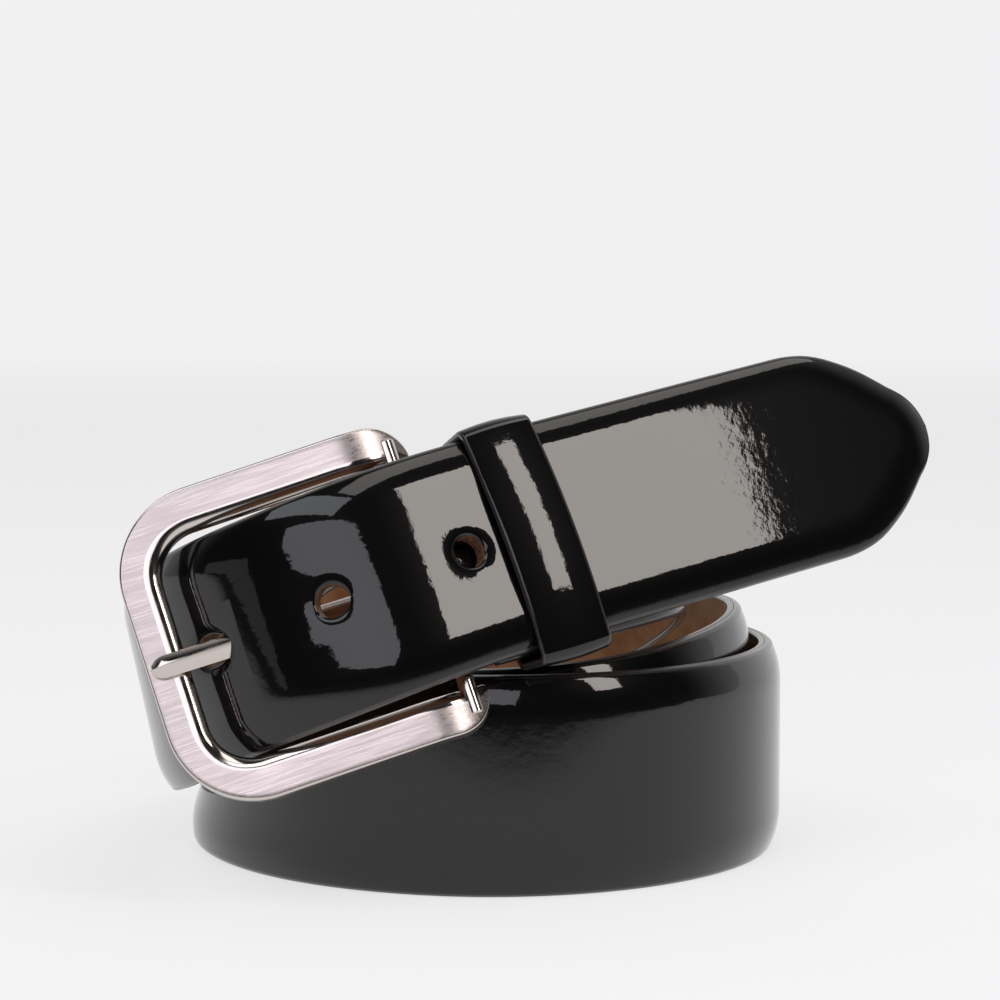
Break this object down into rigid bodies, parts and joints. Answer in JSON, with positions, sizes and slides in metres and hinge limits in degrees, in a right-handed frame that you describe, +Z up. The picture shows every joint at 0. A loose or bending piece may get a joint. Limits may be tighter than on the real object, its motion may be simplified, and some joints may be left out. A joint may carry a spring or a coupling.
{
  "type": "leather dress belt",
  "caption": "Flat leather dress belt, buckled and rolled into a standing coil, with a rectangular prong buckle, leather keeper, punched holes and a pointed tail.",
  "frame": {"origin": "centre of the whole belt's box, on the surface that the coil stands on", "axes": "+X to the right, the way the tail points; +Y to the back, away from the buckle; +Z up, across the strap's width"},
  "size_m": [0.1342, 0.121, 0.0843],
  "materials": {
    "face_leather": "glossy polished smooth leather",
    "lining_leather": "satin tan lining leather",
    "filler_leather": "matte split leather",
    "buckle_metal": "satin brushed, with polished bevels",
    "thread": "waxed thread",
    "staple_steel": "bright wire"
  },
  "bodies": {
    "strap": {"lining_buckle_end": "lining_leather", "filler_buckle_end": "filler_leather", "face_buckle_end": "face_leather", "lining_inner_turn": "lining_leather", "filler_inner_turn": "filler_leather", "face_inner_turn": "face_leather", "lining_middle_turn": "lining_leather", "filler_middle_turn": "filler_leather", "face_middle_turn": "face_leather", "lining_outer_turn": "lining_leather", "filler_outer_turn": "filler_leather", "face_outer_turn": "face_leather", "lining_prong_run": "lining_leather", "filler_prong_run": "filler_leather", "face_prong_run": "face_leather", "lining_keeper_run": "lining_leather", "filler_keeper_run": "filler_leather", "face_keeper_run": "face_leather", "strap_fold": "face_leather", "strap_turnback": "face_leather", "turnback_stitches": "thread", "keeper": "face_leather", "keeper_staple": "staple_steel"},
    "tail": {"lining_tail": "lining_leather", "filler_tail": "filler_leather", "face_tail": "face_leather"},
    "buckle": {"buckle_frame": "buckle_metal", "heel_bar": "buckle_metal"},
    "prong": {"prong": "buckle_metal"}
  },
  "joints": [
    {"name": "buckle_swing", "type": "hinge", "parent": "strap", "child": "buckle", "pos_m": [-0.01592, -0.04486, 0.05067], "axis": [-0.3203, 0.2563, 0.912], "range_deg": [0, 1.5]},
    {"name": "prong_lift", "type": "hinge", "parent": "buckle", "child": "prong", "pos_m": [-0.01592, -0.04486, 0.05067], "axis": [-0.3203, 0.2563, 0.912], "range_deg": [0, 1.5]},
    {"name": "tail_flex", "type": "hinge", "parent": "strap", "child": "tail", "pos_m": [0.00754, -0.04037, 0.05937], "axis": [0.3365, -0.2495, -0.908], "range_deg": [-4, 35], "stiffness_Nm_per_rad": 0.25}
  ]
}
